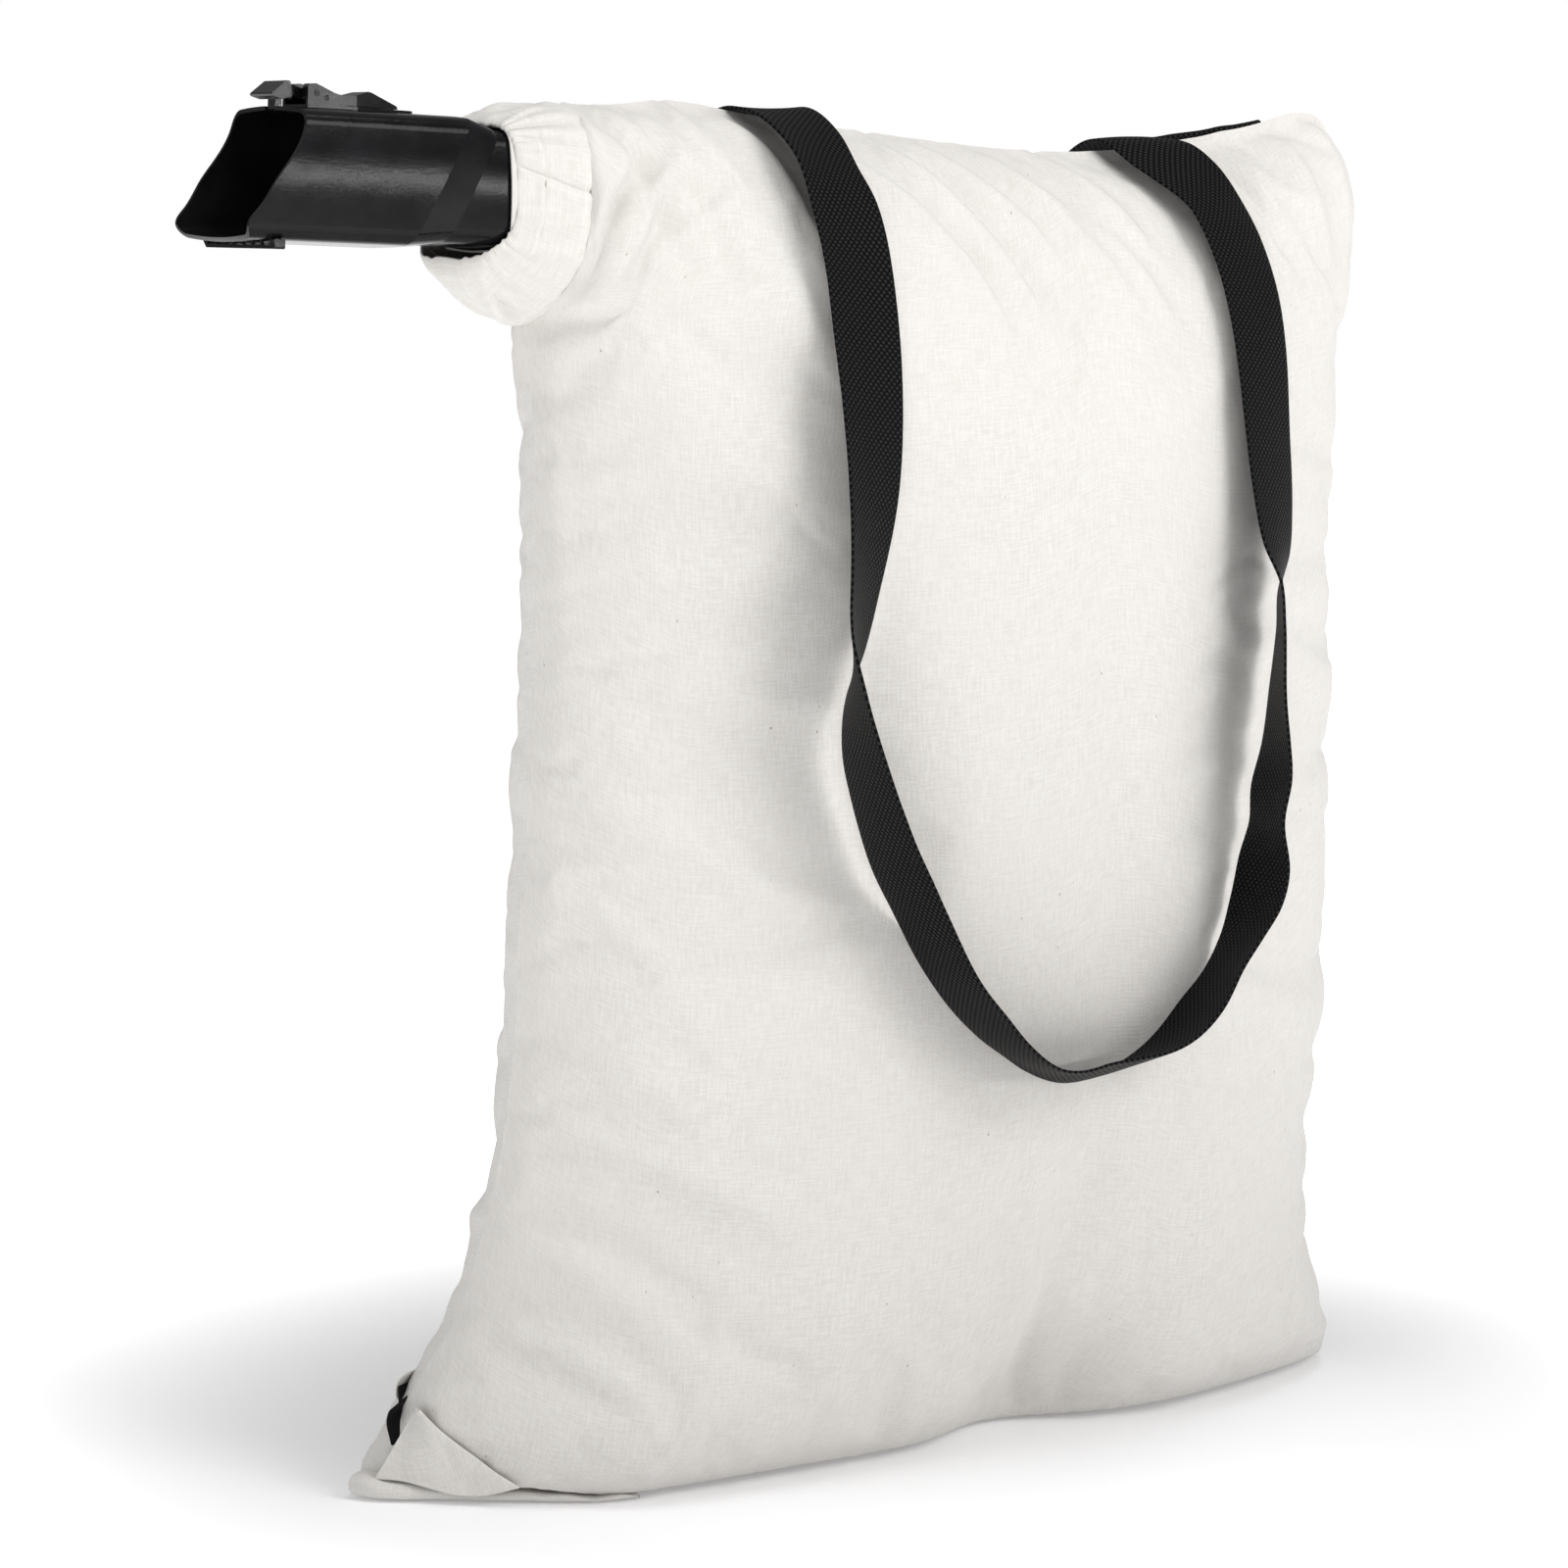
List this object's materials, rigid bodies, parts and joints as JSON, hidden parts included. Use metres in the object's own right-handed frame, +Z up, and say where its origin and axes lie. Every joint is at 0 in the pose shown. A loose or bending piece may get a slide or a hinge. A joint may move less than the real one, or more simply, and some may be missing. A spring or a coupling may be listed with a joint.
{
  "type": "leaf blower vacuum collection bag",
  "caption": "Canvas bag on a rigid plastic inlet tube with a draw latch, an emptying zip low on the back and a webbing shoulder strap.",
  "frame": {"origin": "on the floor under the bag, in the seam plane between the front and back panels", "axes": "+X along the bag's width, away from the inlet tube; +Y from the front of the bag to its back; +Z up"},
  "size_m": [0.788, 0.2869, 0.7866],
  "materials": {
    "canvas": "unbleached cotton plain weave with fine flecks",
    "elastic": "woven elastic",
    "tube_plastic": "grained black polypropylene",
    "latch_plastic": "smooth black nylon, satin",
    "steel": "zinc plated",
    "webbing": "black polypropylene webbing",
    "zip_tape": "black woven tape",
    "zip_coil": "black nylon coil",
    "zip_metal": "black lacquered zinc"
  },
  "bodies": {
    "bag": {"front_panel": "canvas", "back_panel": "canvas", "cuff_band": "canvas", "cuff_elastic": "elastic", "inlet_tube": "tube_plastic", "latch_base": "latch_plastic", "latch_pivot_pins": "steel", "latch_screws": "steel", "zip_tape_upper": "zip_tape", "zip_tape_lower": "zip_tape", "zip_coil_upper": "zip_coil", "zip_coil_lower": "zip_coil", "zip_end_stop": "zip_metal", "strap_end_left": "webbing", "strap_end_right": "webbing"},
    "lever": {"latch_lever": "latch_plastic", "latch_claw_pin": "steel"},
    "claw": {"latch_claw": "latch_plastic"},
    "strap": {"shoulder_strap": "webbing"},
    "slider": {"zip_slider": "zip_metal"},
    "pull": {"zip_pull": "zip_metal"}
  },
  "joints": [
    {"name": "strap_swing", "type": "hinge", "parent": "bag", "child": "strap", "pos_m": [-0.107, -0.0135, 0.7757], "axis": [-0.9986, 0, 0.0534], "range_deg": [0, 165]},
    {"name": "latch_open", "type": "hinge", "parent": "bag", "child": "lever", "pos_m": [-0.40143, 0, 0.77981], "axis": [0, -1, 0], "range_deg": [0, 100]},
    {"name": "claw_turn", "type": "hinge", "parent": "lever", "child": "claw", "pos_m": [-0.39402, 0, 0.77768], "axis": [0, -1, 0], "range_deg": [-100, 0]},
    {"name": "zip_slide", "type": "slide", "parent": "bag", "child": "slider", "axis": [-1, 0, 0], "range_m": [0, 0.3]},
    {"name": "pull_flip", "type": "hinge", "parent": "slider", "child": "pull", "pos_m": [0.1648, 0.097, 0.046], "axis": [0, 0, -1], "range_deg": [0, 160]}
  ],
  "couplings": [
    {"joint": "claw_turn", "follows": "latch_open", "ratio": -1}
  ]
}
